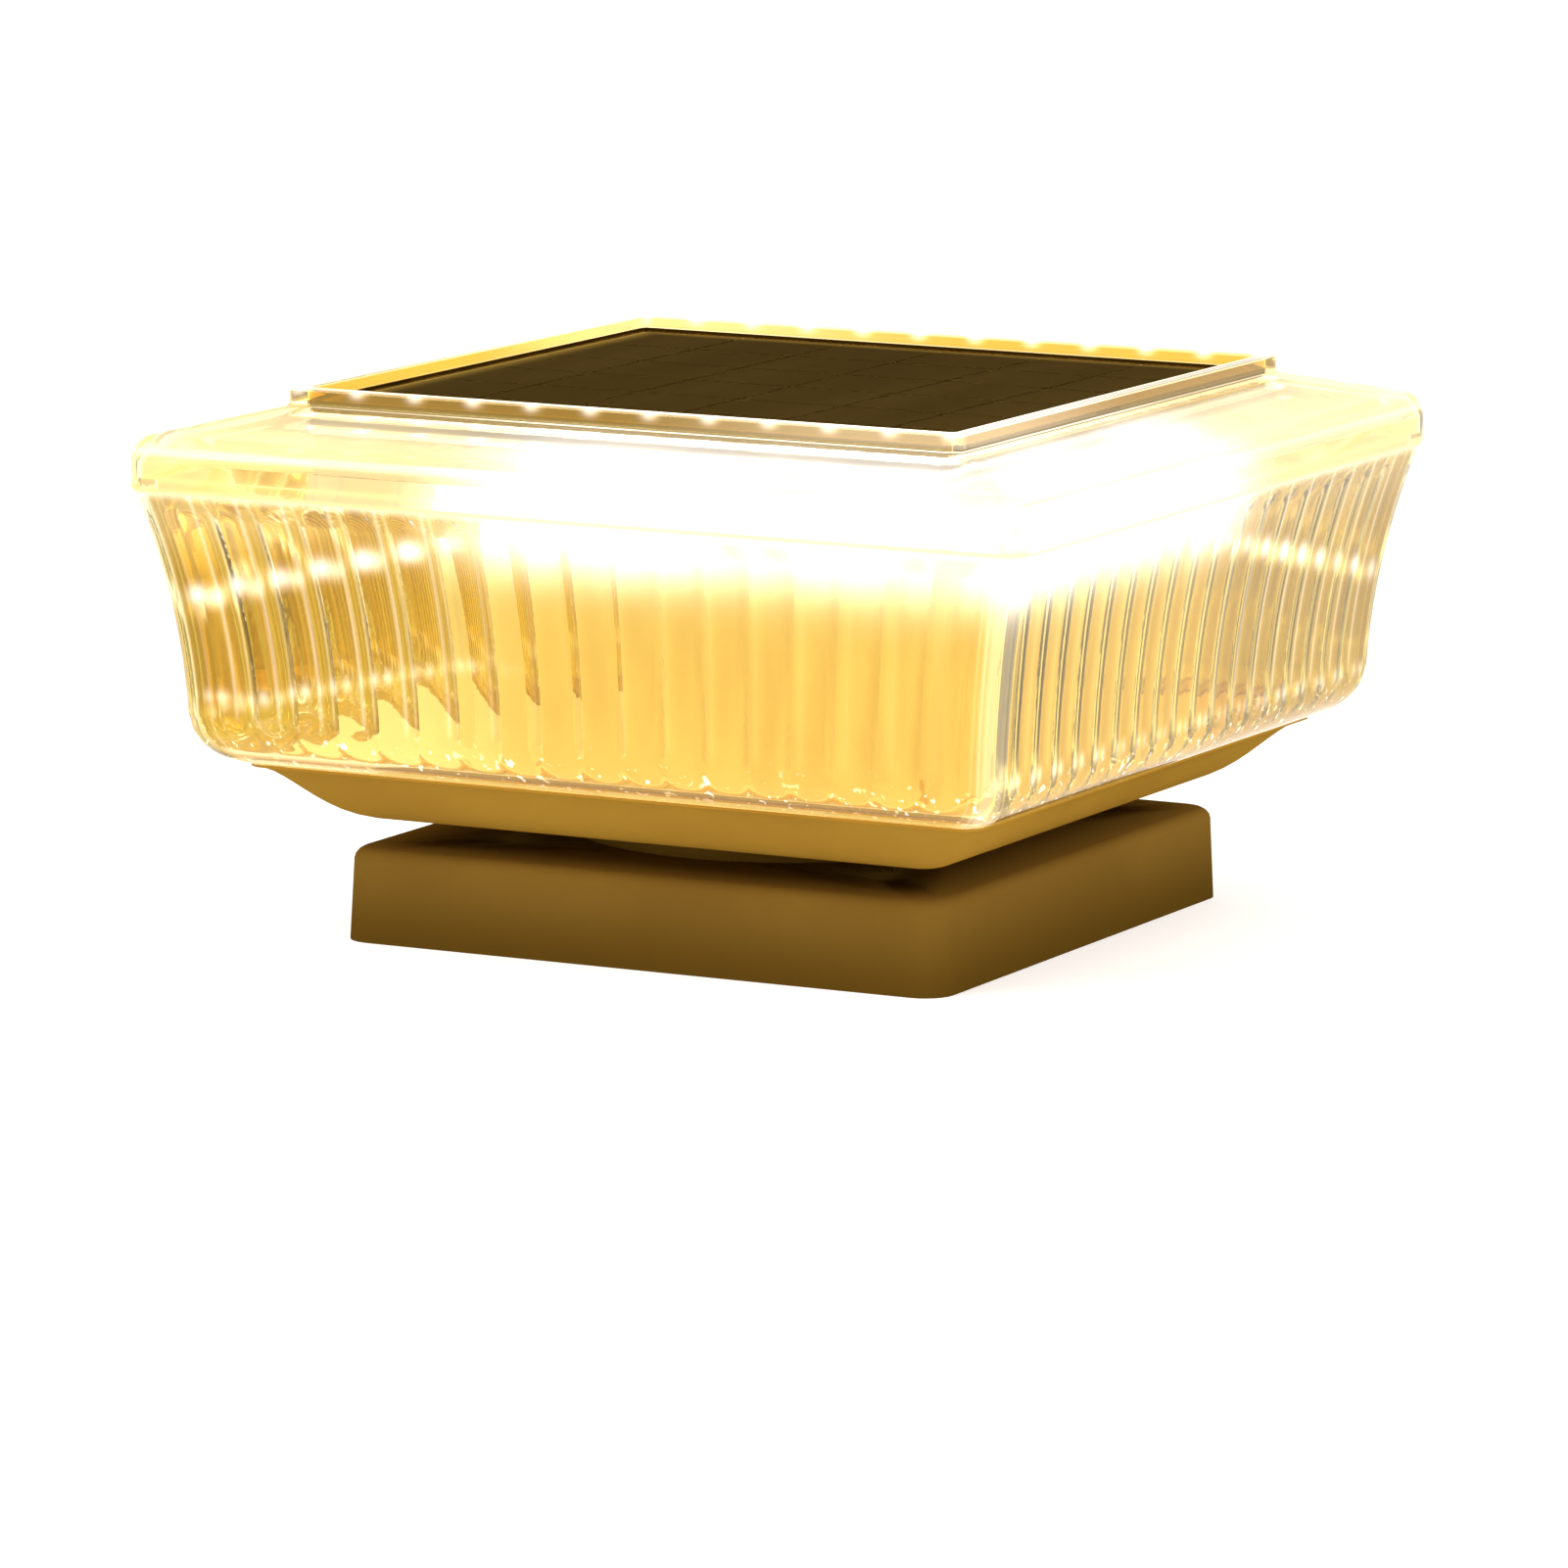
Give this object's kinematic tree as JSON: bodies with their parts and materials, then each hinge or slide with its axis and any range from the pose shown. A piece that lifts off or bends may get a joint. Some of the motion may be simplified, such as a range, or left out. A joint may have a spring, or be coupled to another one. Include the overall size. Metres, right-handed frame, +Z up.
{
  "type": "solar post light",
  "caption": "Square solar pillar light: clear ribbed shade and cover with a solar panel in the top, on a moulded base for a pillar cap.",
  "frame": {"origin": "centre of the underside of the base, on the pillar cap", "axes": "+Z up; -Y and +X are the two faces seen in the picture, +X and +Y along the sides of the square"},
  "size_m": [0.25, 0.25, 0.1424],
  "materials": {
    "base_brown": "fine moulded matt, golden brown",
    "pan_gold": "fine moulded matt, lighter golden brown",
    "clear_shade": "polished clear, tinted warm by the light in it",
    "clear_cover": "polished clear, tinted warm by the light in it",
    "seal_rubber": "soft grey silicone",
    "black_sealant": "black sealant bead",
    "panel_glass": "clear tempered cover over dark cells",
    "solar_cell": "dark silicon",
    "backsheet": "dark laminate",
    "white_plastic": "white reflector plastic",
    "white_board": "white solder mask",
    "warm_led": "glowing warm white",
    "steel": "plated steel",
    "black_plastic": "moulded black",
    "battery_wrap": "shrink sleeve",
    "contact_brass": "pressed brass",
    "green_board": "green solder mask",
    "ferrite": "sintered ferrite",
    "capacitor_sleeve": "printed sleeve",
    "ivory_plastic": "moulded ivory",
    "red_lead": "insulated wire",
    "white_lead": "insulated wire",
    "black_lead": "insulated wire",
    "red_button": "moulded red"
  },
  "bodies": {
    "base": {"base": "base_brown"},
    "head": {"pan": "pan_gold", "battery_cover": "pan_gold", "shade": "clear_shade", "top_cover": "clear_cover", "pan_seal": "seal_rubber", "shade_seal": "seal_rubber", "battery_cover_seal": "seal_rubber", "switch_seal": "seal_rubber", "panel_seal": "black_sealant", "panel_glass": "panel_glass", "solar_cells": "solar_cell", "panel_backsheet": "backsheet", "led_tray": "white_plastic", "inner_column": "white_plastic", "led_strips": "white_board", "led_chips": "warm_led", "cover_screws": "steel", "column_screws": "steel", "battery_cover_screws": "steel", "board_screws": "steel", "switch_nut": "steel", "battery_holder": "black_plastic", "battery_cells": "battery_wrap", "battery_contacts": "contact_brass", "control_board": "green_board", "control_chip": "black_plastic", "power_inductor": "ferrite", "capacitors": "capacitor_sleeve", "board_sockets": "ivory_plastic", "panel_lead": "red_lead", "light_lead": "white_lead", "switch_lead": "black_lead", "switch_body": "black_plastic"},
    "button": {"button_cap": "red_button"}
  },
  "joints": [
    {"name": "head_twist", "type": "hinge", "parent": "base", "child": "head", "pos_m": [0, 0, 0.024], "axis": [0, 0, 1], "range_deg": [0, 30]},
    {"name": "button_press", "type": "slide", "parent": "head", "child": "button", "axis": [0, 0, 1], "range_m": [0, 0.002], "stiffness_N_per_m": 1200, "springref_m": -0.0005}
  ]
}
